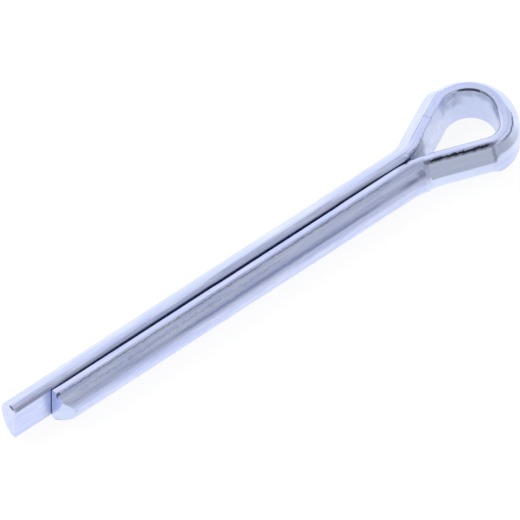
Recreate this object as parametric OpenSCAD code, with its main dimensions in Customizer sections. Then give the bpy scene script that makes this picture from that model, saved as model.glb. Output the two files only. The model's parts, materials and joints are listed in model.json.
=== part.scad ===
// Split cotter pin: one length of half-round wire, folded so that its flat
// sides meet in two legs and open into a pressed, slightly lopsided eye.
//
// Frame: +X runs along the shank towards the eye, the eye lies in the XY plane,
// the split between the legs is the XZ plane. The origin is on the shank's axis
// where the long leg starts to bend into the eye. The pin lies on its lands.

/* [Shank] */
// Diameter of the closed shank
shank_d = 4.5; // [4.4:0.05:5]
// Height of the wire across the flat lands on its top and bottom
land_height = 4.2; // [3.9:0.05:4.3]
// Length of the short leg, from the neck to its tip
short_leg = 39.6; // [20:0.1:80]
// How far the long leg's tip stands out past the short one
leg_step = 4; // [1:0.1:12]
// Bevel on the inner edges of the wire
edge_bevel = 0.25; // [0.15:0.05:0.4]

/* [Split] */
// Gap between the legs at the neck and at the short leg's tip
end_gap = 0.06; // [0.04:0.01:0.12]
// Gap between the legs half-way along, where they bow apart
middle_gap = 0.18; // [0.14:0.01:0.4]

/* [Eye] */
// Angle of the eye's flank on the long leg's side
long_flank_angle = 27.5; // [24:0.5:32]
// Length of the straight flank on the long leg's side
long_flank = 4.8; // [4:0.1:6]
// Radius of the neck bend on the long leg's side
long_neck_r = 5.25; // [4:0.25:7]
// Inner radius of the eye's round side
loop_r = 2.5; // [2.3:0.05:2.8]
// Inner radius of the eye's flatter nose
nose_r = 5.75; // [4.5:0.25:7]
// Angle that the nose turns through
nose_turn = 20; // [14:1:26]
// Inner radius of the tight corner on the short leg's side
corner_r = 1.65; // [1.3:0.05:2]
// Angle that the corner turns through
corner_turn = 73; // [65:1:80]
// Angle of the eye's flank on the short leg's side
short_flank_angle = 20; // [17:0.5:23]
// Radius of the neck bend on the short leg's side
short_neck_r = 14.5; // [10:0.5:16]
// Radius of the tighter bend that the round back of that neck takes
heel_r = 8; // [6:0.25:9]

/* [Press marks] */
// Thickness of the wire where the eye was pressed
eye_thickness = 1.8; // [1.65:0.05:1.95]
// Height of the outer flat that the press left on the loop
loop_flat = 1.5; // [1.2:0.05:1.8]
// Height of the outer flat on the nose and the corner, where it is widest
nose_flat = 2.6; // [2.2:0.1:2.8]
// Slope of the pressed faces above and below those flats
press_slope = 38; // [34:1:42]
// Thickness of the wire on the short leg's flank, where it was pressed less
flank_thickness = 2; // [1.9:0.05:2.1]
// Height of the outer flat on that flank
flank_flat = 1.25; // [1:0.05:1.5]
// Slope of the pressed faces above and below it
flank_slope = 41; // [38:1:43]
// How far the press reaches round the loop, as the wire's heading there
press_end = -8; // [-16:1:0]
// How far the press reaches past the straight flank towards the short leg
press_mark = 1.5; // [0.8:0.1:2]

/* [Short tip] */
// Tilt of the face where the short tip's outer corner broke off in the shear
break_tilt = 43; // [30:1:50]
// Distance from the split at which that face starts, at the middle height
break_start = 1.1; // [0.9:0.1:1.5]
// Angle above the horizontal of the line where it starts
break_line = 73; // [60:1:80]

/* [Hidden] */
$fn = 96;
wire_r = shank_d / 2;
land_z = land_height / 2;
long_leg = short_leg + leg_step;
loop_turn = 180 + long_flank_angle + short_flank_angle - nose_turn - corner_turn;
// the bends stand this much proud of the straight wire all round
swell = 0.01;
// the straight wire runs this far into the bends at its ends
lap = 0.2;
// the short leg's round wire runs this far on under the pressed flank
run_on = 3;
// the press's faces run on straight for this far where they leave the loop
run_out = 0.5;
margin = 1;
reach = 3 * wire_r;
// what the press leaves: thickness, height of the outer flat, slope of the rest
loop_press = [eye_thickness, loop_flat, press_slope];
nose_press = [eye_thickness, nose_flat, press_slope];
flank_press = [flank_thickness, flank_flat, flank_slope];

// A pose is [x, y, heading] on the wire's inner line. The wire is walked from
// the long leg round the eye to the short leg, with its body on the left.
function along(pose, run) = [
    pose[0] + run * cos(pose[2]),
    pose[1] + run * sin(pose[2]),
    pose[2]
];
function turned(pose, radius, turn) = [
    pose[0] + radius * (sin(pose[2]) - sin(pose[2] - turn)),
    pose[1] - radius * (cos(pose[2]) - cos(pose[2] - turn)),
    pose[2] - turn
];

long_neck = [0, end_gap / 2, 0];
long_flank_start = turned(long_neck, -long_neck_r, -long_flank_angle);
loop_start = along(long_flank_start, long_flank);
nose_start = turned(loop_start, loop_r, loop_turn);
corner_start = turned(nose_start, nose_r, nose_turn);
short_flank_start = turned(corner_start, corner_r, corner_turn);
short_neck_rise = short_neck_r * (1 - cos(short_flank_angle));
short_flank = (-end_gap / 2 - short_neck_rise - short_flank_start[1]) / sin(short_flank_angle);
short_flank_end = along(short_flank_start, short_flank);
// the round back's bend touches the same two lines as the neck's bend
heel_start = along(short_flank_end, (short_neck_r - heel_r) * tan(short_flank_angle / 2));

// Stretches of wire: the child is the section, with x out from the inner line
// and y up. An extra length runs past each end.
module straight(pose, run, extra = lap) {
    translate([pose[0], pose[1], 0]) rotate([0, 0, pose[2]]) translate([-extra, 0, 0])
        rotate([90, 0, 90]) linear_extrude(run + 2 * extra) children();
}
module bend_right(pose, radius, turn, extra = 0) {
    extra_turn = extra * 180 / PI / radius;
    translate([pose[0] + radius * sin(pose[2]), pose[1] - radius * cos(pose[2]), 0])
        rotate([0, 0, pose[2] + 90 - turn - extra_turn])
            rotate_extrude(angle = turn + 2 * extra_turn) translate([radius, 0]) children();
}
module bend_left(pose, radius, turn) {
    translate([pose[0] - radius * sin(pose[2]), pose[1] + radius * cos(pose[2]), 0])
        rotate([0, 0, pose[2] - 90])
            rotate_extrude(angle = turn) translate([radius, 0]) mirror([1, 0]) children();
}

// Half-round wire with a land above and below and bevelled inner edges
module round_section(proud = 0) {
    intersection() {
        translate([-end_gap / 2, 0]) circle(wire_r + proud);
        bevelled_strip(reach, proud);
    }
}
// The same wire where the press has squared its round side
module pressed_section(press, proud = 0) {
    difference() {
        bevelled_strip(press[0] + proud, proud);
        pressed_away(press, proud);
    }
}
// A strip from the inner line outwards, bevelled on its two inner edges
module bevelled_strip(outer, proud) {
    top = land_z + proud;
    polygon([
        [-proud, edge_bevel - top], [edge_bevel - proud, -top], [outer, -top],
        [outer, top], [edge_bevel - proud, top], [-proud, top - edge_bevel]
    ]);
}
// Everything outside the press's faces
module pressed_away(press, proud = 0) {
    face = press[0] + proud;
    half_flat = press[1] / 2;
    slope_end = face - (reach / 2 - half_flat) * tan(press[2]);
    polygon([
        [slope_end, -reach / 2], [face, -half_flat], [face, half_flat],
        [slope_end, reach / 2], [reach, reach / 2], [reach, -reach / 2]
    ]);
}

// What the short tip has lost at its outer corner
module broken_corner() {
    translate([-short_leg, -break_start, 0]) rotate([-break_line, 0, 0]) rotate([0, -break_tilt, 0])
        translate([-reach, -reach, -reach]) cube([reach, 2 * reach, reach]);
}

// What the bow takes off a leg's inner face
module bow(side) {
    translate([0, 0, -land_height]) linear_extrude(2 * land_height)
        polygon([
            [-short_leg, 0], [-short_leg, side * end_gap / 2],
            [-short_leg / 2, side * middle_gap / 2], [0, side * end_gap / 2], [0, 0]
        ]);
}

module long_side() {
    difference() {
        straight([lap - long_leg, end_gap / 2, 0], long_leg - lap) round_section();
        bow(1);
    }
    bend_left(long_neck, long_neck_r, long_flank_angle) round_section(swell);
    straight(long_flank_start, long_flank) round_section();
}

// The short leg's round back takes a tighter bend than its pressed inner line,
// and runs on under the pressed flank as far as the press's end mark
module short_side() {
    difference() {
        union() {
            straight([0, -end_gap / 2, 180], short_leg, 0) round_section();
            bend_left(heel_start, heel_r, short_flank_angle) round_section(swell);
            straight(along(heel_start, -run_on), run_on) round_section();
        }
        bow(-1);
        broken_corner();
        bend_left(short_flank_end, short_neck_r, short_flank_angle) inner_half();
        straight(short_flank_start, short_flank) inner_half();
        straight(along(short_flank_end, -run_on), run_on + press_mark, 0)
            pressed_away(flank_press, -swell);
    }
    bend_left(short_flank_end, short_neck_r, short_flank_angle) pressed_section(flank_press, swell);
    straight(short_flank_start, short_flank) pressed_section(flank_press);
}
module inner_half() {
    translate([-reach, -reach]) square([reach + eye_thickness / 2, 2 * reach]);
}

// The loop starts as round wire and runs out into the press's faces
module eye() {
    round_turn = long_flank_angle - press_end;
    press_start = turned(loop_start, loop_r, round_turn);
    difference() {
        bend_right(loop_start, loop_r, loop_turn) round_section(swell);
        bend_right(press_start, loop_r, loop_turn - round_turn + margin)
            pressed_away(loop_press, swell);
        straight(along(press_start, -reach), reach + run_out, 0) pressed_away(loop_press);
    }
    bend_right(nose_start, nose_r, nose_turn, lap) pressed_section(nose_press);
    bend_right(corner_start, corner_r, corner_turn) pressed_section(nose_press, swell);
}

module pin() {
    color("lightsteelblue") union() {
        long_side();
        short_side();
        eye();
    }
}

pin();
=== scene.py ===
# %% [markdown]
# # A split cotter pin, bent from half-round wire
#
# A cotter pin is one length of steel wire whose section is half a circle. It is
# folded back on itself, so that the two flat sides meet and make a round shank,
# and the fold is left open as an eye. A press squares the back of the eye. This
# lesson bends such a wire in Blender: it draws the section once, and then pushes
# it along the path that the real wire takes, with Extrude for the straight
# stretches and Spin for the bends.
#
# The first cell loads the solid model that this scene has to agree with, and
# notes how large that model is.

# %% Load the frame
import json
from math import cos, degrees, hypot, pi, radians, sin, tan

import bpy
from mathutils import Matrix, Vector


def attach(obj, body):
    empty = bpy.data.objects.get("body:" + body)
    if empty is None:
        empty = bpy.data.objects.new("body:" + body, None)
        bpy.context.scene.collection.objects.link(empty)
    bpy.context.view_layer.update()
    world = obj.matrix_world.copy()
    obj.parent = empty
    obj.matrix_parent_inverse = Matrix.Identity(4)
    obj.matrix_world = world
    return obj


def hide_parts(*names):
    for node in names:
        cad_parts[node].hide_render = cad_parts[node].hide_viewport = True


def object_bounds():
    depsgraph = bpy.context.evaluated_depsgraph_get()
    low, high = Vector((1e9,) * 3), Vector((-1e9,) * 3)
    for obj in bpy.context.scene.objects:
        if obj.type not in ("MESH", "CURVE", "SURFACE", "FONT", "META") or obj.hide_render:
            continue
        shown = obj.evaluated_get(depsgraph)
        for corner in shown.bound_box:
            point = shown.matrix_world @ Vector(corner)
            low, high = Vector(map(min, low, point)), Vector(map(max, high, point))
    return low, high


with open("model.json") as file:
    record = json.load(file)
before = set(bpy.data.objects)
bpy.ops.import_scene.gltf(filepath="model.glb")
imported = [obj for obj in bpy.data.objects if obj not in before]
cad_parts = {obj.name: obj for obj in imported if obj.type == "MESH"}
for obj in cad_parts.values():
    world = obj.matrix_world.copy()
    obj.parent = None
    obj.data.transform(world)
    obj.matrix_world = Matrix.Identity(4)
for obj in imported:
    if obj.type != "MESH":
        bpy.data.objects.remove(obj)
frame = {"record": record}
cad_low, cad_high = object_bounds()
shank = next(m for m in frame["record"]["mounts"] if m["name"] == "shank")
print("solid model:", [round(v * 1000, 2) for v in cad_high - cad_low], "mm")

# %% [markdown]
# ## Sizes
#
# The wire is small, so it is modelled in millimetres, one to a Blender unit, and
# brought down to its real size at the end. That keeps every operator's own
# tolerance, such as the distance at which points merge, far below a detail.
#
# These are the sizes that a toolmaker would write on the drawing: first the
# wire, then the path, then what the press leaves.

# %% Sizes of the wire, its path and the press
MM = 0.001
wire_r = shank["dims"]["r_mm"]
long_leg = shank["dims"]["length_mm"]
leg_step = 4
short_leg = long_leg - leg_step
land_z = 2.1
edge_round, land_round = 0.3, 0.16
end_gap = 0.06
middle_gap = 0.18

long_neck_r, long_flank_angle, long_flank = 5.25, 27.5, 4.8
loop_r = 2.5
nose_r, nose_turn = 5.75, 20
corner_r, corner_turn = 1.65, 73
short_neck_r, short_flank_angle = 14.5, 20
loop_turn = 180 + long_flank_angle + short_flank_angle - nose_turn - corner_turn

loop_press = {"thick": 1.8, "flat": 1.5, "slope": 38}
nose_press = {"thick": 1.8, "flat": 2.6, "slope": 38}
flank_press = {"thick": 2.0, "flat": 1.25, "slope": 41}
press_end = -8
press_mark = 1.5
heel_r = 8
print(f"shank radius {wire_r} mm, legs {short_leg} and {long_leg:.1f} mm")

# %% [markdown]
# ## The path
#
# A pose is a point on the wire's inner line and the way the wire heads there, in
# degrees. The wire is walked from the long leg round the eye to the short leg,
# with its body on the left. Two small functions are all that the walk needs: one
# goes straight on, the other goes round a bend to the right, or to the left when
# radius and turn are negative.

# %% Walk the path
def along(pose, run):
    x, y, heading = pose
    return (x + run * cos(radians(heading)), y + run * sin(radians(heading)), heading)


def turned(pose, radius, turn):
    x, y, heading = pose
    before, after = radians(heading), radians(heading - turn)
    return (
        x + radius * (sin(before) - sin(after)),
        y - radius * (cos(before) - cos(after)),
        heading - turn)


long_neck = (0, end_gap / 2, 0)
long_flank_start = turned(long_neck, -long_neck_r, -long_flank_angle)
loop_start = along(long_flank_start, long_flank)
press_start = turned(loop_start, loop_r, long_flank_angle - press_end)
nose_start = turned(loop_start, loop_r, loop_turn)
corner_start = turned(nose_start, nose_r, nose_turn)
short_flank_start = turned(corner_start, corner_r, corner_turn)
neck_drop = short_neck_r * (1 - cos(radians(short_flank_angle)))
short_flank = (-end_gap / 2 - neck_drop - short_flank_start[1]) / sin(radians(short_flank_angle))
short_flank_end = along(short_flank_start, short_flank)
short_neck = turned(short_flank_end, -short_neck_r, -short_flank_angle)
eye_end = corner_start[0] + nose_press["thick"]
print("the eye reaches x", round(eye_end, 1), "and the short neck x", round(short_neck[0], 2))

# %% [markdown]
# ## The section
#
# The rolled wire is not quite half a circle: it has a small flat land above and
# below, and its two inner edges are rounded. It could be drawn point by point,
# but it is easier to cut: a filled circle is sliced with Bisect on the split and
# on both lands, and Bevel rounds the corners. The same blank serves both legs, on
# one side of the split or on the other.

# %% Cut the half-round blank
import bmesh

hair = 1e-3  # what lies this near to a plane, in millimetres, lies on it
merge_gap = 1e-5
circle_points, edge_steps = 128, 8


def only(piece):
    """Deselects all else, so that the next operator acts on this piece alone."""
    bpy.ops.object.select_all(action="DESELECT")
    piece.select_set(True)
    bpy.context.view_layer.objects.active = piece


def edit(piece):
    only(piece)
    bpy.ops.object.mode_set(mode="EDIT")


def pick(test, kind="VERT"):
    """Selects what the test holds for in the piece in edit mode, and counts it."""
    bpy.ops.mesh.select_mode(type=kind)
    bpy.ops.mesh.select_all(action="DESELECT")
    mesh = bpy.context.object.data
    shape = bmesh.from_edit_mesh(mesh)
    parts = {"VERT": shape.verts, "EDGE": shape.edges, "FACE": shape.faces}[kind]
    chosen = [part for part in parts if test(part)]
    for part in chosen:
        part.select_set(True)
    shape.select_flush_mode()
    bmesh.update_edit_mesh(mesh)
    return len(chosen)


def slice_off(point, outwards, fill=False):
    """Cuts the whole piece on a plane and drops what lies outwards of it."""
    bpy.ops.mesh.select_all(action="SELECT")
    bpy.ops.mesh.bisect(
        plane_co=point, plane_no=outwards, clear_outer=True, use_fill=fill, threshold=merge_gap)


def round_off(test, size, kind="VERT", steps=4):
    found = pick(test, kind)
    bpy.ops.mesh.bevel(offset=size, segments=steps, affect="VERTICES" if kind == "VERT" else "EDGES")
    return found


def half_round_blank(name, tip_x, side):
    bpy.ops.mesh.primitive_circle_add(
        vertices=circle_points, radius=wire_r, fill_type="NGON", rotation=(0, pi / 2, 0))
    blank = bpy.context.object
    blank.name = name
    only(blank)
    bpy.ops.object.transform_apply()
    edit(blank)
    inner = side * end_gap / 2

    def on_land(v):
        return abs(v.co.z) > land_z - hair

    slice_off((0, inner, 0), (0, -side, 0))
    slice_off((0, 0, land_z), (0, 0, 1))
    slice_off((0, 0, -land_z), (0, 0, -1))
    round_off(lambda v: on_land(v) and abs(v.co.y - inner) < hair, edge_round, steps=edge_steps)
    round_off(lambda v: on_land(v) and abs(v.co.y - inner) > 2 * edge_round, land_round)
    bpy.ops.mesh.select_all(action="SELECT")
    bpy.ops.transform.translate(value=(tip_x, 0, 0))
    print(name, "section:", pick(lambda face: True, "FACE"), "face,", pick(lambda v: True), "points")
    pick(lambda face: True, "FACE")
    return blank


wire = half_round_blank("split_pin", -long_leg, 1)

# %% [markdown]
# ## The long leg and the round side of the eye
#
# The section is a face at the long leg's tip, and it is still selected. Each
# short Extrude carries it a step further, and Spin carries it round a bend. Both
# leave the moved face selected, so the walk can go on from there. The place of
# every ring is noted, because the later steps work on single rings.

# %% Push the section along the path
leg_ring, flank_ring, neck_ring = 1.0, 0.5, 0.2
rings = []


def push_on(pose, run, ring):
    steps = max(1, round(run / ring))
    end = along(pose, run / steps)
    step = (end[0] - pose[0], end[1] - pose[1], 0)
    for number in range(steps):
        bpy.ops.mesh.extrude_region_move(TRANSFORM_OT_translate={"value": step})
        rings.append(along(pose, run * (number + 1) / steps))
    return rings[-1]


def push_round(pose, radius, turn, ring=0.2):
    x, y, heading = pose
    centre = (x + radius * sin(radians(heading)), y - radius * cos(radians(heading)), 0)
    steps = max(1, round((abs(radius) + wire_r) * abs(radians(turn)) / ring))
    bpy.ops.mesh.spin(steps=steps, angle=radians(turn), center=centre, axis=(0, 0, 1))
    rings.extend(turned(pose, radius, turn * (number + 1) / steps) for number in range(steps))
    return rings[-1]


def from_ring(pose, point):
    """How far a point lies ahead of a ring, and how far out from the inner line."""
    x, y, heading = pose
    ahead, side = cos(radians(heading)), sin(radians(heading))
    return (point.x - x) * ahead + (point.y - y) * side, (point.y - y) * ahead - (point.x - x) * side


push_on((-long_leg, end_gap / 2, 0), long_leg, leg_ring)
push_round(long_neck, -long_neck_r, -long_flank_angle)
push_on(long_flank_start, long_flank, flank_ring)
push_round(loop_start, loop_r, long_flank_angle - press_end)
print(len(rings), "rings as far as the press, the last at", [round(v, 2) for v in rings[-1]])

# %% [markdown]
# ## The pressed side of the eye
#
# From here on a press has squared the wire's round back: one flat outside, and a
# sloping face above and below it. The die is straight where it starts, so its
# faces run out of the round wire as three plane cuts, and those are Bisect with
# Fill again. The end that is left has the pressed section already. It is picked
# by its normal, and walks on round the loop, the nose and the corner, and down
# the flank as far as the end of the die.

# %% Press the wire and walk on
ring_reach = 1e-2  # a point this near to a ring's plane belongs to the ring
square_on = 0.999  # the cosine from which a face counts as facing one way
one_point, whole_corner = 0.03, 0.15
press_round = 0.1


def facing(pose, out, up):
    """A direction that leans out from the wire and up."""
    heading = radians(pose[2])
    return Vector((-sin(heading) * out, cos(heading) * out, up))


def heading_of(pose):
    return Vector((cos(radians(pose[2])), sin(radians(pose[2])), 0))


def is_cap(pose):
    """A test for the face that closes the walk's end at a ring."""
    def test(face):
        ahead = from_ring(pose, face.calc_center_median())[0]
        return face.normal.dot(heading_of(pose)) > square_on and abs(ahead) < ring_reach
    return test


def corners(press):
    """Where the pressed faces meet: the outer flat's edge, and the foot on the land."""
    out, up = press["thick"], press["flat"] / 2
    return (out, up), (out - (land_z - up) * tan(radians(press["slope"])), land_z)


slope = radians(loop_press["slope"])
press_point = Vector((press_start[0], press_start[1], 0))
for tilt in (0, 1, -1):
    corner = press_point + facing(press_start, loop_press["thick"], tilt * loop_press["flat"] / 2)
    outwards = facing(press_start, cos(slope), tilt * sin(slope)) if tilt else facing(press_start, 1, 0)
    slice_off(corner, outwards, fill=True)


def near_corner(pose, corner, size, up=None):
    def test(v):
        ahead, out = from_ring(pose, v.co)
        height = abs(v.co.z) if up is None else up * v.co.z
        return abs(ahead) < ring_reach and hypot(out - corner[0], height - corner[1]) < size
    return test


outer_corner = near_corner(press_start, corners(loop_press)[0], one_point)
print("corners on the pressed end:", round_off(outer_corner, press_round))
print("ends to walk on from:", pick(is_cap(press_start), "FACE"))
push_round(press_start, loop_r, loop_turn - long_flank_angle + press_end)

# %% [markdown]
# Where the press squeezed hardest, round the nose, the metal spread and the land
# grew wider. The section's four edges are moved a little after every ring, until
# they have reached the nose's section. The flank was pressed less, and to a
# narrower flat: the end of the corner takes that section in one ring, which
# leaves a crease where the corner meets the flank.

# %% Walk on and change the section
def reshape(pose, old, new):
    """Moves the edges of the section at the walk's end, and selects the end again."""
    for before, after in zip(old, new):
        for up in (1, -1):
            if pick(near_corner(pose, before, whole_corner, up)) == 0:
                print("no edge at", before)
            shift = facing(pose, after[0] - before[0], up * (after[1] - before[1]))
            bpy.ops.transform.translate(value=shift)
    pick(is_cap(pose), "FACE")


def part_way(old, new, share):
    return [(a[0] + (b[0] - a[0]) * share, a[1] + (b[1] - a[1]) * share) for a, b in zip(old, new)]


wide_ring = 1  # so wide that a short bend is one ring
loop_corners, nose_corners, flank_corners = map(corners, (loop_press, nose_press, flank_press))
pick(is_cap(nose_start), "FACE")
pose, nose_steps = nose_start, 10
for step in range(nose_steps):
    pose = push_round(pose, nose_r, nose_turn / nose_steps, wide_ring)
    before = part_way(loop_corners, nose_corners, step / nose_steps)
    after = part_way(loop_corners, nose_corners, (step + 1) / nose_steps)
    reshape(pose, before, after)
last_turn = 12
flank_edge = push_round(corner_start, corner_r, corner_turn - last_turn)
push_round(flank_edge, corner_r, last_turn, wide_ring)
reshape(short_flank_start, nose_corners, flank_corners)
pick(is_cap(short_flank_start), "FACE")
push_on(short_flank_start, short_flank, flank_ring)
die_end = push_round(short_flank_end, -short_neck_r, -degrees(press_mark / short_neck_r))
print("the die ends at", [round(v, 2) for v in die_end], "after", len(rings), "rings")
long_rings = rings

# %% [markdown]
# ## The short leg
#
# The other end of the wire is a second walk, from the short leg's tip to the
# neck. Its round back takes a tighter bend than its flat side, so it walks on the
# back's bend first, and the flat side is moved after, ring by ring. The legs
# spring apart a little half-way, most of it on the long leg.

# %% Walk the short leg
bpy.ops.object.mode_set(mode="OBJECT")
short_side = half_round_blank("short_side", -short_leg, -1)
rings = []
heel_start = along(short_neck, -(short_neck_r - heel_r) * tan(radians(short_flank_angle / 2)))
heel = (heel_start[0], heel_start[1], 0)
neck_run = 2
push_on((-short_leg, -end_gap / 2, 0), short_leg - neck_run, leg_ring)
push_on((-neck_run, -end_gap / 2, 0), neck_run + heel[0], neck_ring)
push_round(heel, heel_r, short_flank_angle)
print("the short side ends at", [round(v, 2) for v in rings[-1]])

long_share = 0.85  # how much of the bow the long leg takes
inner_side = (-0.5, edge_round + 0.02)
least_shift = 1e-4
die_step = 0.15


def neck_line(x, start, radius):
    """How far a bend that starts at x has left the straight line."""
    return radius - (radius**2 - max(0, x - start) ** 2) ** 0.5


def bow(x, share):
    """How far a sprung leg stands off the split, apart from the gap at its ends."""
    reach = min(1, abs(2 * x / short_leg + 1))
    return share * (middle_gap - end_gap) * (1 - reach**2)


def on_inner_side(pose, v, side):
    """Whether a point belongs to a ring and to the flat side of the wire or its rounded edges."""
    ahead, out = from_ring(pose, v.co)
    return abs(ahead) < ring_reach and inner_side[0] < side * out < inner_side[1]


def move_inner_side(pose, shift, side):
    found = pick(lambda v: on_inner_side(pose, v, side))
    bpy.ops.transform.translate(value=(0, shift, 0))
    return found


for pose in rings:
    x = pose[0]
    late = neck_line(x, short_neck[0], short_neck_r) - neck_line(x, heel[0], heel_r)
    if abs(bow(x, 1 - long_share) + late) > least_shift:
        found = move_inner_side(pose, -bow(x, 1 - long_share) - late, -1)
print("points on the flat side of a ring:", found)
ahead = heading_of(die_end)
slice_off(Vector((die_end[0], die_end[1], 0)) + ahead * die_step, -ahead)

# %% [markdown]
# ## Join the two sides
#
# Both walks end at the end of the die, an eyelash apart: one with the pressed
# section, the other with the round one. The two objects are joined, the cap
# between them is deleted, and Bridge Edge Loops closes the gap. On the flat
# sides that gives a smooth seam, and on the back it gives the step that the
# edge of a die leaves.

# %% Bridge the die's end
bpy.ops.object.mode_set(mode="OBJECT")
edit(wire)
for pose in long_rings:
    if pose[0] < 0 and pose[2] == 0 and bow(pose[0], long_share) > least_shift:
        found = move_inner_side(pose, bow(pose[0], long_share), 1)
print("points on the flat side of a ring:", found, "caps:", pick(is_cap(die_end), "FACE"))
bpy.ops.mesh.delete(type="FACE")
bpy.ops.object.mode_set(mode="OBJECT")
only(wire)
short_side.select_set(True)
bpy.ops.object.join()
edit(wire)
print("open edges to bridge:", pick(lambda edge: edge.is_boundary, "EDGE"))
bpy.ops.mesh.bridge_edge_loops()

# %% [markdown]
# ## Twist and wear
#
# The rounded inner edge of the wire is pinched crisp on the long side of the eye,
# where the flat side is stretched over the mandrel. Each rounded corner is shrunk
# towards the sharp corner that it stands for, with Resize about that corner.
#
# Wire also turns a little about itself when it is bent. On the long side of the eye
# the flat inner wall leans: its upper edge has moved out and its lower edge in,
# most on the flank, and no longer at the nose. The lands are not quite level
# either. On the legs and on the short flank they fall towards the split, and on
# the long flank and the loop they fall outwards. The wall leans by two or three
# tenths of a millimetre and the lands by a twentieth, and that decides what each
# strip of metal mirrors.

# %% Lean the inner wall and the lands
upper_lean, lower_lean, land_fall = 0.2, -0.28, 0.055
crisp_share = 0.25
outer_land, land_depth = (0.45, 1.4), 0.1
half_height = 1


def ramp(value, span):
    """Goes smoothly from 0 at the start of a span to 1 at its end."""
    share = min(1, max(0, (value - span[0]) / (span[1] - span[0])))
    return share * share * (3 - 2 * share)


def running_length(poses):
    lengths = [0.0]
    for here, after in zip(poses, poses[1:]):
        lengths.append(lengths[-1] + hypot(after[0] - here[0], after[1] - here[1]))
    return lengths


def on_outer_land(pose, v, side):
    ahead, out = from_ring(pose, v.co)
    across = outer_land[0] < side * out < outer_land[1]
    return abs(ahead) < ring_reach and across and abs(v.co.z) > land_z - land_depth


def on_rounding(pose, v, up):
    ahead, out = from_ring(pose, v.co)
    across = -ring_reach < out < edge_round + ring_reach
    return abs(ahead) < ring_reach and across and up * v.co.z > land_z - edge_round - ring_reach


def from_nose(pose):
    return hypot(pose[0] - nose_start[0], pose[1] - nose_start[1])


print("the inner wall leans by", upper_lean, "above and", lower_lean, "mm below")

# %% [markdown]
# Every change grows and fades along the wire, so its two spans are written down
# first, as lengths from the long tip. Then the walk goes from ring to ring: it
# picks the points of one strip by their place, and moves them with Translate.

# %% Ring by ring
walk = [(-long_leg, end_gap / 2, 0)] + long_rings
lengths = running_length(walk)
nose_length = lengths[walk.index(min(walk, key=from_nose))]
loop_length = nose_length - loop_r * radians(loop_turn)
print("the loop starts", round(loop_length, 2), "mm along, and the nose", round(nose_length, 2))
lean_grows = (long_leg + 1.5, long_leg + 4)
lean_fades = {1: (loop_length, loop_length + 3), -1: (loop_length + 1, nose_length)}
outer_fall = (long_leg, long_leg + 3), (nose_length - 1, nose_length + 1)
inner_rest = (long_leg - 1, long_leg + 1.5), (nose_length + 3, nose_length + 4.2)
crisp_edge = (long_leg + 1, long_leg + 3), (nose_length, nose_length + 3)
for pose, length in zip(walk, lengths):
    outwards = ramp(length, outer_fall[0]) * (1 - ramp(length, outer_fall[1]))
    inwards = 1 - ramp(length, inner_rest[0]) + ramp(length, inner_rest[1])
    crisp = ramp(length, crisp_edge[0]) * (1 - ramp(length, crisp_edge[1]))
    size = 1 - crisp * (1 - crisp_share)
    for up, lean in ((1, upper_lean), (-1, lower_lean)):
        if crisp > 0:
            pick(lambda v: on_rounding(pose, v, up))
            corner = Vector((pose[0], pose[1], up * land_z))
            bpy.ops.transform.resize(value=(size, size, size), center_override=corner)
        shift = ramp(length, lean_grows) * (lean * (1 - ramp(length, lean_fades[up])))
        fall = Vector((0, 0, -up * land_fall))
        if abs(shift) > hair or inwards > hair:
            pick(lambda v: up * v.co.z > half_height and on_inner_side(pose, v, 1))
            bpy.ops.transform.translate(value=facing(pose, shift, 0) + fall * inwards)
        if outwards > hair:
            pick(lambda v: up * v.co.z > half_height and on_outer_land(pose, v, 1))
            bpy.ops.transform.translate(value=fall * outwards)
for pose in rings:
    for up in (1, -1):
        pick(lambda v: up * v.co.z > half_height and on_inner_side(pose, v, -1))
        bpy.ops.transform.translate(value=(0, 0, -up * land_fall))

# %% [markdown]
# ## The sheared tips
#
# The long tip was sheared nearly square. The short tip's outer corner broke away
# at a slant when it was sheared, which is one more plane cut. A plane through the
# whole pin would also cut the other leg, so only one tip is selected. A small
# Bevel round each end stands for the burr.

# %% Shear the tips
burr = 0.05
long_tip_lean = 5
break_tilt, break_start, break_line = 43, 1.1, 73
tip_length = 2.5 * leg_ring
looks_back = -0.6


def shear(tip_x, side, point, outwards):
    pick(lambda v: v.co.x < tip_x + tip_length and side * v.co.y > 0)
    bpy.ops.mesh.bisect(
        plane_co=point, plane_no=outwards, clear_outer=True, use_fill=True, threshold=merge_gap)

    def on_end(face):
        middle = face.calc_center_median()
        return face.normal.x < looks_back and middle.x < tip_x + leg_ring and side * middle.y > 0

    def rim(edge):
        sides = edge.link_faces
        return len(sides) == 2 and on_end(sides[0]) != on_end(sides[1])

    print("rim edges:", round_off(rim, burr, "EDGE", 2))


lean = radians(long_tip_lean)
shear(-long_leg, 1, (-long_leg, end_gap / 2, 0), (-cos(lean), sin(lean), 0))
tilt, line = radians(break_tilt), radians(break_line)
slant = (-cos(tilt), -sin(tilt) * sin(line), -sin(tilt) * cos(line))
shear(-short_leg, -1, (-short_leg, -break_start, 0), slant)

# %% [markdown]
# ## Close and shade the wire
#
# Spin can leave faces turned inwards, so the normals are recalculated, and the
# wire is brought down to its real size. Smooth shading by angle keeps the edges
# of the press crisp and the bends round.

# %% Finish the mesh
crease_angle = 20
pick(lambda v: True)
bpy.ops.mesh.remove_doubles(threshold=merge_gap)
bpy.ops.mesh.normals_make_consistent(inside=False)
shape = bmesh.from_edit_mesh(wire.data)
open_edges = sum(not edge.is_manifold for edge in shape.edges)
print("open or doubled edges:", open_edges, "volume", round(shape.calc_volume(), 1), "mm3")
bpy.ops.transform.resize(value=(MM, MM, MM), center_override=(0, 0, 0))
bpy.ops.object.mode_set(mode="OBJECT")
bpy.ops.object.shade_smooth_by_angle(angle=radians(crease_angle))

# %% [markdown]
# ## Hand the wire to the frame
#
# The wire is the whole pin. It rides on the pin's only body, stands in the solid
# model's place, and has one material slot, for the metal.

# %% Tie the wire to the solid model
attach(wire, "root")
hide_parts("pin")
print("the wire rides on the body root, in place of the solid pin")

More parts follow.
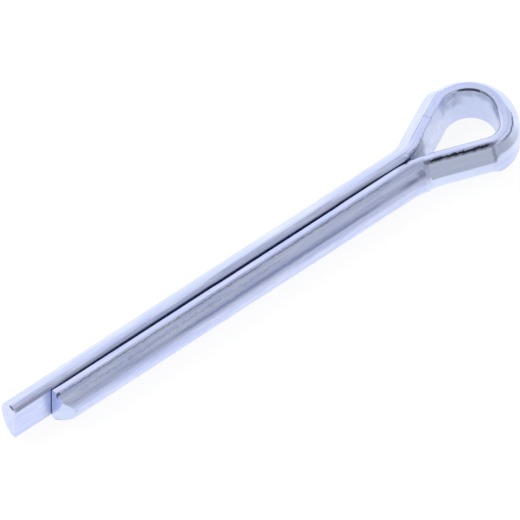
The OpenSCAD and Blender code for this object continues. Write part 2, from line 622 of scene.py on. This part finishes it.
# %% [markdown]
# ## Coordinates along the wire
#
# Drawing marks run along the wire and follow it round the bends, so a pattern in
# plain X, Y, Z would leave it in the eye. Each point is given coordinates of its
# own instead: how far along the wire it is, how far out from the inner line, and
# its height, all in millimetres. They are kept in an attribute named wire.
#
# The inner line is walked in steps of a twentieth of a millimetre, and each point
# of the mesh looks up the nearest step on its own side of the split.

# %% Lay coordinates along the wire
from mathutils.kdtree import KDTree

walk = [(-long_leg, end_gap / 2, 0)] + long_rings + rings[::-1] + [(-short_leg, -end_gap / 2, 0)]
line_step = 0.05
open_from = 2  # past this x the eye is open, and either side may be the nearest
inner_line, run = [], 0.0
for here, after in zip(walk, walk[1:]):
    gap = hypot(after[0] - here[0], after[1] - here[1])
    parts = max(1, round(gap / line_step))
    for number in range(parts):
        share = number / parts
        x = here[0] + (after[0] - here[0]) * share
        y = here[1] + (after[1] - here[1]) * share
        inner_line.append((x, y, run + gap * share))
    run += gap
nearest = {1: KDTree(len(inner_line)), -1: KDTree(len(inner_line))}
for number, (x, y, _) in enumerate(inner_line):
    for side in (1, -1):
        if x > open_from or y * side > 0:
            nearest[side].insert((x, y, 0), number)
for tree in nearest.values():
    tree.balance()
lay = wire.data.attributes.new("wire", "FLOAT_VECTOR", "POINT")
for vert in wire.data.vertices:
    x, y, z = vert.co / MM
    place, number, out = nearest[1 if y > 0 else -1].find((x, y, 0))
    lay.data[vert.index].vector = (inner_line[number][2], out, z)
print("the wire is", round(run, 1), "mm long on its inner line")

# %% [markdown]
# ## Node groups for the metal
#
# A short helper makes a node and plugs in its inputs, so that each node takes one
# line, and two more open and close a node group. The metal needs two groups:
#
# - drawn lines: noise stretched along the wire, as a drawing die leaves, and a
#   second noise that is even all round, for the crystals of the zinc
# - mark: a mask for one patch of dirt, wear, tint, painted highlight or painted
#   shade. It is 1 between two corners of a box in the wire's own coordinates,
#   fades over Soft, and is torn by Ragged

# %% Tools for nodes
def node_maker(tree):
    def make(kind, links=None, **settings):
        node = tree.nodes.new(kind)
        for name, value in settings.items():
            setattr(node, name, value)
        for name, value in (links or {}).items():
            socket = node.inputs[name]
            if isinstance(value, bpy.types.NodeSocket):
                tree.links.new(value, socket)
            else:
                socket.default_value = value
        return node
    return make


def new_group(name, inputs, outputs):
    group = bpy.data.node_groups.new(name, "ShaderNodeTree")
    for title, kind in inputs.items():
        group.interface.new_socket(title, in_out="INPUT", socket_type="NodeSocket" + kind)
    for title in outputs:
        group.interface.new_socket(title, in_out="OUTPUT", socket_type="NodeSocketFloat")
    make = node_maker(group)
    return group, make, make("NodeGroupInput").outputs


def close_group(group, make, results):
    make("NodeGroupOutput", results)
    print("group", group.name, "has", len(group.nodes), "nodes")


# %% [markdown]
# The drawn lines are noise whose place is stretched: it changes slowly along the
# wire and fast across it. Map Range widens the narrow range that noise keeps to.

# %% Group for the drawn lines
drawn_lines, make, given = new_group("drawn lines", {"Place": "Vector"}, ("Lines", "Fine", "Spots"))
broad_per_mm, fine_per_mm = (0.11, 1.7, 1.7), (0.35, 6.0, 6.0)
place = {0: given["Place"], 1: broad_per_mm}
place = make("ShaderNodeVectorMath", place, operation="MULTIPLY").outputs[0]
broad = {"Vector": place, "Scale": 1.0, "Detail": 3.0, "Roughness": 0.6}
broad = make("ShaderNodeTexNoise", broad).outputs[0]
place = {0: given["Place"], 1: fine_per_mm}
place = make("ShaderNodeVectorMath", place, operation="MULTIPLY").outputs[0]
fine = make("ShaderNodeTexNoise", {"Vector": place, "Scale": 1.0, "Detail": 2.0}).outputs[0]
spots = make("ShaderNodeTexNoise", {"Vector": given["Place"], "Scale": 1.3, "Detail": 3.0}).outputs[0]
close_group(drawn_lines, make, {
    title: make("ShaderNodeMapRange", {"Value": noise, "From Min": 0.36, "From Max": 0.64}).outputs[0]
    for title, noise in (("Lines", broad), ("Fine", fine), ("Spots", spots))})

# %% [markdown]
# A mark is worked out for the three axes at once: the place is first torn by
# noise, one smooth step rises where the box starts, another where it ends, and
# the mask is where the first has come and the second hasn't.

# %% Group for one mark
mark_inputs = {"Place": "Vector", "From": "Vector", "To": "Vector", "Soft": "Vector", "Ragged": "Float"}
mark, make, given = new_group("mark", mark_inputs, ("Mask",))
noise = {"Vector": given["Place"], "Scale": 2.1, "Detail": 6.0, "Roughness": 0.75}
noise = make("ShaderNodeTexNoise", noise).outputs["Color"]
even = make("ShaderNodeVectorMath", {0: noise, 1: (0.5, 0.5, 0.5)}, operation="SUBTRACT").outputs[0]
torn = make("ShaderNodeVectorMath", {0: even, "Scale": given["Ragged"]}, operation="SCALE").outputs[0]
place = make("ShaderNodeVectorMath", {0: given["Place"], 1: torn}, operation="ADD").outputs[0]
inside = []
for end in ("From", "To"):
    fade = {0: given[end], 1: given["Soft"]}
    low_end = make("ShaderNodeVectorMath", fade, operation="SUBTRACT").outputs[0]
    high_end = make("ShaderNodeVectorMath", fade, operation="ADD").outputs[0]
    edge = {"Vector": place, 7: low_end, 8: high_end}
    smooth = {"data_type": "FLOAT_VECTOR", "interpolation_type": "SMOOTHSTEP"}
    inside.append(make("ShaderNodeMapRange", edge, **smooth).outputs[1])
past = make("ShaderNodeVectorMath", {0: (1, 1, 1), 1: inside[1]}, operation="SUBTRACT").outputs[0]
both = make("ShaderNodeVectorMath", {0: inside[0], 1: past}, operation="MULTIPLY").outputs[0]
axes = make("ShaderNodeSeparateXYZ", {0: both}).outputs
flat = make("ShaderNodeMath", {0: axes[0], 1: axes[1]}, operation="MULTIPLY").outputs[0]
solid = make("ShaderNodeMath", {0: flat, 1: axes[2]}, operation="MULTIPLY").outputs[0]
close_group(mark, make, {"Mask": solid})

# %% [markdown]
# ## The metal
#
# Clean zinc plating is a bluish mirror, slightly clouded. Its colour changes a
# little along the drawn lines. A few stretches have a tint of their own: the faces
# that a press has rubbed are paler. Three tints are painted light and shade: the
# wall inside the eye is painted greyer and darker as painted shade in its hollow,
# the outside of the corner is painted paler as a painted highlight, and a band on
# the short leg's back is painted darker as a painted reflection.
#
# On top of that come the dark marks, listed from the long tip round to the
# short one: what each mark is, its two corners, how soft it is along and across
# the wire, how ragged, and how dark. Some are nicks, pits, dashes and tool marks,
# and some are dark lines along the edges of the lands. Many are painted shade: in
# the split and along its edges, in the creases, at the die's end, on the wall
# above the neck and on the rounded edge by the long tip, with a painted dark
# reflection in the loop. The darkest are a painted shadow under the lip of the
# short flank's land, and the painted shade in the split.
#
# Both lists are data, so that a loop can build each of them. Their corners are
# given as (along, out, up) in the wire's own coordinates. The darkest mark wins
# at each point, and every dark mark, painted shade included, is also rougher than
# metal.

# %% Tints and marks
split, top = 0.02, 2.4  # the depth of the split's painted shade, and a height above all metal
tints = (
    # name, from, to, soft (along, across), torn, colour
    # painted shade: the wall inside the eye is painted greyer and darker
    ("painted shade inside the eye", (44.5, -0.3, -2.4), (60.5, 0.3, 2.0), (1.0, 0.1), 0.1, (0.53, 0.595, 0.83, 1)),
    ("rubbed flank", (60.8, 1.0, -1.9), (67.0, 2.6, 1.9), (0.3, 0.1), 0.3, (0.69, 0.76, 1.0, 1)),
    # painted reflection: a darker band along the short leg's back
    ("painted dark reflection band", (74.0, 1.77, 1.05), (97.0, 1.97, 1.4), (3.0, 0.1), 0.3, (0.4, 0.46, 0.78, 1)),
    # painted highlight: the outside of the corner is painted paler
    ("painted highlight on the corner", (58.3, 0.95, 0.3), (60.6, 2.6, 2.0), (0.5, 0.2), 0.4, (0.7, 0.77, 1.0, 1)),
    ("broken tip", (107.8, -0.3, -2.4), (109.8, 2.4, 1.0), (0.2, 0.3), 0.2, (0.61, 0.69, 0.96, 1)),
)
marks = (
    # name, from, to, soft (along, across), torn, dark
    ("nick at the long tip", (-0.3, 0.25, 1.8), (0.1, 0.95, top), (0.05, 0.1), 0.25, 0.85),
    # painted shade on the rounded edge at the long tip
    ("painted shade on the long tip's edge", (0.2, -0.3, 1.75), (4.3, 0.26, top), (0.15, 0.06), 0.25, 0.35),
    ("shade by the short tip", (3.3, -0.3, -2.4), (4.4, 0.3, 1.9), (0.6, 0.1), 0.1, 0.25),
    # painted shade in the split and along its edges, on the long leg
    ("painted shade in the split, long leg's side", (4.0, -0.3, -2.4), (44.5, split, top), (0.1, 0.02), 0.0, 0.92),
    ("painted shade at the split, long leg's edge", (4.4, -0.3, 1.7), (41.0, 0.15, top), (1.5, 0.1), 0.06, 0.6),
    # painted shade on the inner wall above the neck
    ("painted shade on the wall above the neck", (44.0, -0.3, -0.8), (47.0, 0.2, top), (0.7, 0.1), 0.6, 0.45),
    ("tool mark on the far land", (48.9, 0.2, 1.8), (49.05, 1.2, top), (0.08, 0.1), 0.3, 0.22),
    ("edge of the far land", (46.0, -0.3, 1.9), (52.7, 0.05, top), (0.5, 0.04), 0.1, 0.4),
    # painted dark reflection on the upper inner wall of the loop
    ("painted dark reflection at the loop's start", (50.9, -0.3, 0.0), (53.0, 0.2, 2.0), (0.5, 0.3), 0.9, 0.4),
    ("painted dark reflection in the loop", (52.0, -0.3, 1.0), (57.8, 0.2, 2.0), (0.5, 0.4), 1.1, 0.3),
    ("painted dark reflection at the loop's end", (56.2, -0.3, 0.6), (58.2, 0.2, 2.0), (0.4, 0.4), 0.9, 0.4),
    ("loop's inner edge", (52.7, -0.3, 1.8), (54.9, 0.08, top), (0.2, 0.05), 0.06, 0.88),
    ("loop's inner edge, thin", (54.8, -0.3, 1.86), (57.5, 0.07, top), (0.3, 0.05), 0.1, 0.65),
    ("land's edge on the nose", (56.8, 1.08, 1.9), (60.3, 1.2, top), (0.3, 0.05), 0.3, 0.75),
    # painted shade in the crease of the corner
    ("painted shade in the corner's crease", (60.72, 1.0, 0.5), (60.86, 2.4, 2.0), (0.06, 0.2), 0.2, 0.4),
    # painted shadow under the lip of the short flank's land
    ("painted shadow under the land's lip", (60.4, 0.76, 1.7), (67.2, 1.06, top), (0.3, 0.07), 0.45, 0.6),
    ("painted shadow, darkest line", (60.8, 0.79, 1.8), (66.8, 0.96, top), (0.4, 0.03), 0.4, 0.98),
    # painted shade at the step where the die ends
    ("painted shade in the die's end crease", (66.9, 0.8, 1.4), (67.2, 2.4, 2.1), (0.15, 0.15), 0.5, 0.4),
    ("painted shade at the heel of the die's end", (67.4, 1.35, 1.25), (69.0, 1.95, 1.8), (0.35, 0.12), 0.4, 0.4),
    ("painted shade at the tail of the die's end", (68.9, 1.68, 1.1), (71.0, 2.0, 1.5), (0.9, 0.1), 0.3, 0.45),
    # painted shade in the split and along its edge, on the short leg
    ("painted shade in the split, short leg's side", (66.5, -0.3, -2.4), (109.4, split, top), (0.5, 0.02), 0.0, 0.92),
    ("painted shade at the split, short leg's edge", (71.0, -0.3, 1.7), (109.2, 0.08, top), (2.5, 0.08), 0.06, 0.3),
    ("dashes beside the land", (72.0, 0.84, 1.9), (108.4, 0.95, 2.1), (0.8, 0.04), 0.5, 0.5),
    ("pits low on the leg", (84.0, 1.3, 1.55), (107.5, 1.5, 1.8), (1.0, 0.05), 0.9, 0.2),
    ("nick at the short tip", (108.72, 0.68, 1.6), (109.6, 0.95, 2.3), (0.08, 0.06), 0.15, 0.8),
)
print(len(marks), "marks of dirt and", len(tints), "tints")

# %% [markdown]
# The material starts with one place: the attribute that holds the coordinates
# along the wire. Two helpers keep the loops short. One puts a mark into the
# material with its own values, and the other mixes two colours.

# %% Material
steel = bpy.data.materials.new("zinc_plated_steel")
steel.use_nodes = True
tree = steel.node_tree
make = node_maker(tree)
shader = tree.nodes["Principled BSDF"]
shader.inputs["Metallic"].default_value = 1
place = make("ShaderNodeAttribute", attribute_name="wire").outputs["Vector"]
drawn = make("ShaderNodeGroup", node_tree=drawn_lines)
tree.links.new(place, drawn.inputs["Place"])


def add_mark(corner_from, corner_to, soft, ragged):
    node = make("ShaderNodeGroup", node_tree=mark)
    tree.links.new(place, node.inputs["Place"])
    soft = (soft[0], soft[1], soft[1])
    for title, value in (("From", corner_from), ("To", corner_to), ("Soft", soft), ("Ragged", ragged)):
        node.inputs[title].default_value = value
    return node.outputs["Mask"]


def mix(share, first, second):
    return make("ShaderNodeMix", {0: share, 6: first, 7: second}, data_type="RGBA").outputs[2]


# one mask for every dark mark: nicks, pits and dirt, and painted shade
dirt_and_shade = None
for name, corner_from, corner_to, soft, ragged, dark in marks:
    mask = add_mark(corner_from, corner_to, soft, ragged)
    mask = make("ShaderNodeMath", {0: mask, 1: dark}, operation="MULTIPLY").outputs[0]
    if dirt_and_shade is not None:
        mask = make("ShaderNodeMath", {0: dirt_and_shade, 1: mask}, operation="MAXIMUM").outputs[0]
    dirt_and_shade = mask
print("the dirt mask holds", len(marks), "marks")

# %% [markdown]
# Colour and relief both follow the drawn lines, so that they belong together, and
# roughness follows the clouds of the crystals. The relief is at most a fiftieth of
# a millimetre deep: enough to break a reflection into streaks, and too little to
# change the outline.

# %% Colour, roughness and relief
dim_zinc, bright_zinc = (0.53, 0.595, 0.93, 1), (0.71, 0.765, 0.99, 1)
# the near-black of the dark marks, for dirt and painted shade alike
dirt_and_shade_colour = (0.025, 0.028, 0.045, 1)
lines, fine = drawn.outputs["Lines"], drawn.outputs["Fine"]
line_share, fine_share = 0.6, 0.4
finely = make("ShaderNodeMath", {0: fine, 1: fine_share}, operation="MULTIPLY").outputs[0]
both = {0: lines, 1: line_share, 2: finely}
both = make("ShaderNodeMath", both, operation="MULTIPLY_ADD").outputs[0]
toned = mix(both, dim_zinc, bright_zinc)
for name, corner_from, corner_to, soft, ragged, colour in tints:
    toned = mix(add_mark(corner_from, corner_to, soft, ragged), toned, colour)
tree.links.new(mix(dirt_and_shade, toned, dirt_and_shade_colour), shader.inputs["Base Color"])

clear_zinc, clouded_zinc, dirt_and_shade_roughness = 0.2, 0.32, 0.35
rough = {"Value": drawn.outputs["Spots"], "To Min": clear_zinc, "To Max": clouded_zinc}
rough = make("ShaderNodeMapRange", rough).outputs[0]
rough = {0: dirt_and_shade, 1: dirt_and_shade_roughness, 2: rough}
rough = make("ShaderNodeMath", rough, operation="MULTIPLY_ADD").outputs[0]
tree.links.new(rough, shader.inputs["Roughness"])

fine_height, line_depth = 0.35, 0.02 * MM
height = {0: fine, 1: fine_height, 2: lines}
height = make("ShaderNodeMath", height, operation="MULTIPLY_ADD").outputs[0]
bump = make("ShaderNodeBump", {"Height": height, "Strength": 0.45, "Distance": line_depth})
tree.links.new(bump.outputs["Normal"], shader.inputs["Normal"])
wire.data.materials.clear()
wire.data.materials.append(steel)
print("the metal has", len(tree.nodes), "nodes")

# %% [markdown]
# ## The floor
#
# A small bright part is shown on white paper, lit from all round. A metal mirrors
# the paper, so its tone near the pin matters as much as the pin's own colour. What
# the metal sees of the paper is a painted glow, brightest behind the pin and
# falling off towards the front, which stands in for the light of a lamp hanging
# behind the part. The camera sees it plain white, with the pin's soft shadow.
#
# Three tools come first. One joins several kinds of light rays into one switch,
# one makes a tone that is graded over a distance, and one makes an empty material.

# %% Tools for the studio
def only_to(make, rays, *kinds):
    """1 for rays of these kinds, and 0 for others."""
    seen = rays[kinds[0]]
    for kind in kinds[1:]:
        seen = make("ShaderNodeMath", {0: seen, 1: rays[kind]}, operation="MAXIMUM").outputs[0]
    return seen


def graded(make, share, stops, span):
    """A tone that follows share through (place, tone) stops, given over span."""
    node = make("ShaderNodeValToRGB", {0: share})
    while len(node.color_ramp.elements) < len(stops):
        node.color_ramp.elements.new(0.5)
    for element, (where, tone) in zip(node.color_ramp.elements, stops):
        element.position = (where - span[0]) / (span[1] - span[0])
        element.color = (tone / brightest, tone / brightest, tone / brightest, 1)
    return node.outputs[0]


def new_surface(name):
    material = bpy.data.materials.new(name)
    material.use_nodes = True
    tree = material.node_tree
    tree.nodes.remove(tree.nodes["Principled BSDF"])
    return material, tree, node_maker(tree)


brightest = 1.4
print("the brightest tone that the metal can mirror is", brightest)

# %% [markdown]
# The floor is one large plane. Its material is matt paper with a little glow for
# the camera, and for the metal it is a painted glow graded across the pin: its
# stops are given in millimetres from the shank, from the front to the back.

# %% Floor
floor_z, floor_size = cad_low.z, 6
white, paper_grey, camera_lift = (1, 1, 1, 1), 0.16, 0.87
bpy.ops.object.select_all(action="DESELECT")
bpy.ops.mesh.primitive_plane_add(size=floor_size, location=(0, 0, floor_z))
floor = bpy.context.object
floor.name = "floor"
floor_span = (-60, 20)
painted_floor_glow_tones = (
    (-60, 0.64), (-18, 0.7), (-9.7, 0.82), (-6.7, 0.94), (-4, 1.04), (0, 1.05), (4, 1.12), (20, 1.15))
paper_and_painted_glow, tree, make = new_surface("white_paper_and_painted_glow")
rays = make("ShaderNodeLightPath").outputs
axes = make("ShaderNodeSeparateXYZ", {0: make("ShaderNodeTexCoord").outputs["Object"]}).outputs
across = {"Value": axes["Y"], "From Min": floor_span[0] * MM, "From Max": floor_span[1] * MM}
across = make("ShaderNodeMapRange", across).outputs[0]
# painted light: the glow that the metal mirrors is graded, brightest behind the pin
painted_floor_glow = {"Color": graded(make, across, painted_floor_glow_tones, floor_span), "Strength": brightest}
painted_floor_glow = make("ShaderNodeEmission", painted_floor_glow).outputs[0]
matte = {"Color": (paper_grey, paper_grey, paper_grey, 1)}
matte = make("ShaderNodeBsdfDiffuse", matte).outputs[0]
lift = {0: only_to(make, rays, "Is Camera Ray", "Is Transmission Ray"), 1: camera_lift}
lift = make("ShaderNodeMath", lift, operation="MULTIPLY").outputs[0]
lift = make("ShaderNodeEmission", {"Color": white, "Strength": lift}).outputs[0]
plain = make("ShaderNodeAddShader", {0: matte, 1: lift}).outputs[0]
mixed = make("ShaderNodeMixShader", {0: rays["Is Glossy Ray"], 1: plain, 2: painted_floor_glow}).outputs[0]
tree.links.new(mixed, tree.nodes["Material Output"].inputs["Surface"])
floor.data.materials.append(paper_and_painted_glow)
print("the floor lies at z", round(floor_z / MM, 2), "mm")

# %% [markdown]
# ## The studio
#
# The world is white. Round the pin stands half a cylinder of cloth that only the
# metal can see. Every strip along the wire mirrors one height on that cloth, so
# its tones, from the horizon in front over the top to the horizon behind, paint
# the strips: dim in front, dimmest just before the top, and bright from well past
# the top down to the horizon behind. A white card beyond the eye lights the
# outside of its nose in the same way. One soft lamp behind the pin gives the
# shadow.

# %% World
fill_level = 0.85
world = bpy.data.worlds.new("studio")
bpy.context.scene.world = world
world.use_nodes = True
tree = world.node_tree
make = node_maker(tree)
rays = make("ShaderNodeLightPath").outputs
seen = only_to(make, rays, "Is Camera Ray", "Is Glossy Ray", "Is Transmission Ray")
level = {"Value": seen, "To Min": fill_level, "To Max": 1.0}
level = make("ShaderNodeMapRange", level).outputs["Result"]
sky = tree.nodes["Background"]
sky.inputs["Color"].default_value = white
tree.links.new(level, sky.inputs["Strength"])
print("the world is white, and fills the matt surfaces at", fill_level)

# %% [markdown]
# The cloth is a Cylinder primitive laid on its side, and Bisect takes off what
# would hang below the floor. Its glow is a colour ramp over the angle, with each
# stop given in degrees from the horizon in front.

# %% Screen
screen_radius, screen_length = 0.5, 3
bpy.ops.mesh.primitive_cylinder_add(
    vertices=96, radius=screen_radius, depth=screen_length, end_fill_type="NOTHING",
    rotation=(0, pi / 2, 0))
screen = bpy.context.object
screen.name = "screen"
only(screen)
bpy.ops.object.transform_apply()
edit(screen)
slice_off((0, 0, floor_z), (0, 0, -1))
bpy.ops.object.mode_set(mode="OBJECT")
bpy.ops.object.shade_smooth()
cloth, tree, make = new_surface("screen_cloth")
axes = make("ShaderNodeSeparateXYZ", {0: make("ShaderNodeTexCoord").outputs["Object"]}).outputs
front = make("ShaderNodeMath", {0: axes["Y"], 1: -1.0}, operation="MULTIPLY").outputs[0]
angle = make("ShaderNodeMath", {0: axes["Z"], 1: front}, operation="ARCTAN2").outputs[0]
share = make("ShaderNodeMath", {0: angle, 1: pi}, operation="DIVIDE").outputs[0]
cloth_tones = (
    (0, 0.54), (10, 0.52), (22, 0.6), (40, 0.66), (55, 0.6), (66, 0.51), (80, 0.5), (95, 0.56),
    (108, 0.62), (114, 0.7), (121, 0.95), (128, 1.02), (145, 1.02), (160, 1.1), (180, 1.15))
glow = {"Color": graded(make, share, cloth_tones, (0, 180)), "Strength": brightest}
glow = make("ShaderNodeEmission", glow)
tree.links.new(glow.outputs[0], tree.nodes["Material Output"].inputs["Surface"])
screen.data.materials.append(cloth)
print("the screen has", len(cloth_tones), "tones")

# %% [markdown]
# The card is a plain glowing plane. Screen and card are hidden from every kind of
# ray but the glossy ones, so they change what the metal mirrors and nothing else.
# The lamp is a small Area light, and it is turned to look at the pin.

# %% Card and lamp
card_x, card_size, card_level = 0.6, 1.2, 0.95
bpy.ops.mesh.primitive_plane_add(
    size=card_size, location=(card_x, 0, card_size / 2), rotation=(0, -pi / 2, 0))
card = bpy.context.object
card.name = "card"
white_card, tree, make = new_surface("white_card")
glow = make("ShaderNodeEmission", {"Color": white, "Strength": card_level})
tree.links.new(glow.outputs[0], tree.nodes["Material Output"].inputs["Surface"])
card.data.materials.append(white_card)
for sheet in (screen, card):
    for ray in ("camera", "diffuse", "shadow", "transmission", "volume_scatter"):
        setattr(sheet, "visible_" + ray, False)

bpy.ops.object.light_add(type="AREA", location=(-0.3, 0.5, 0.9))
lamp = bpy.context.object
lamp.name = "lamp"
lamp.data.size = 0.4
lamp.data.energy = 2
lamp.rotation_euler = (-lamp.location).to_track_quat("-Z", "Y").to_euler()
print("on the stage:", floor.name, screen.name, card.name, lamp.name)

# %% [markdown]
# ## The camera
#
# A very long lens from far away keeps the two legs parallel, as in a catalogue.
# The camera looks down on the front of the pin from the left, and its distance
# follows from the width that the view should cover.

# %% Camera
look_at = Vector((-14.40, 2.30, -2.95)) * MM
lens, sensor, view_width = 1650, 36, 45.9 * MM
near, far = 0.01, 50
azimuth, elevation = radians(-38.43), radians(54.5)
back = Vector((sin(azimuth) * cos(elevation), -cos(azimuth) * cos(elevation), sin(elevation)))
camera = bpy.data.objects.new("camera", bpy.data.cameras.new("camera"))
bpy.context.collection.objects.link(camera)
camera.data.lens, camera.data.sensor_width = lens, sensor
camera.data.clip_start, camera.data.clip_end = near, far
camera.location = look_at + back * view_width * lens / sensor
camera.rotation_euler = back.to_track_quat("Z", "Y").to_euler()
bpy.context.scene.camera = camera
bpy.context.scene.view_settings.view_transform = "Standard"
print("the camera stands", round(view_width * lens / sensor, 2), "m away")
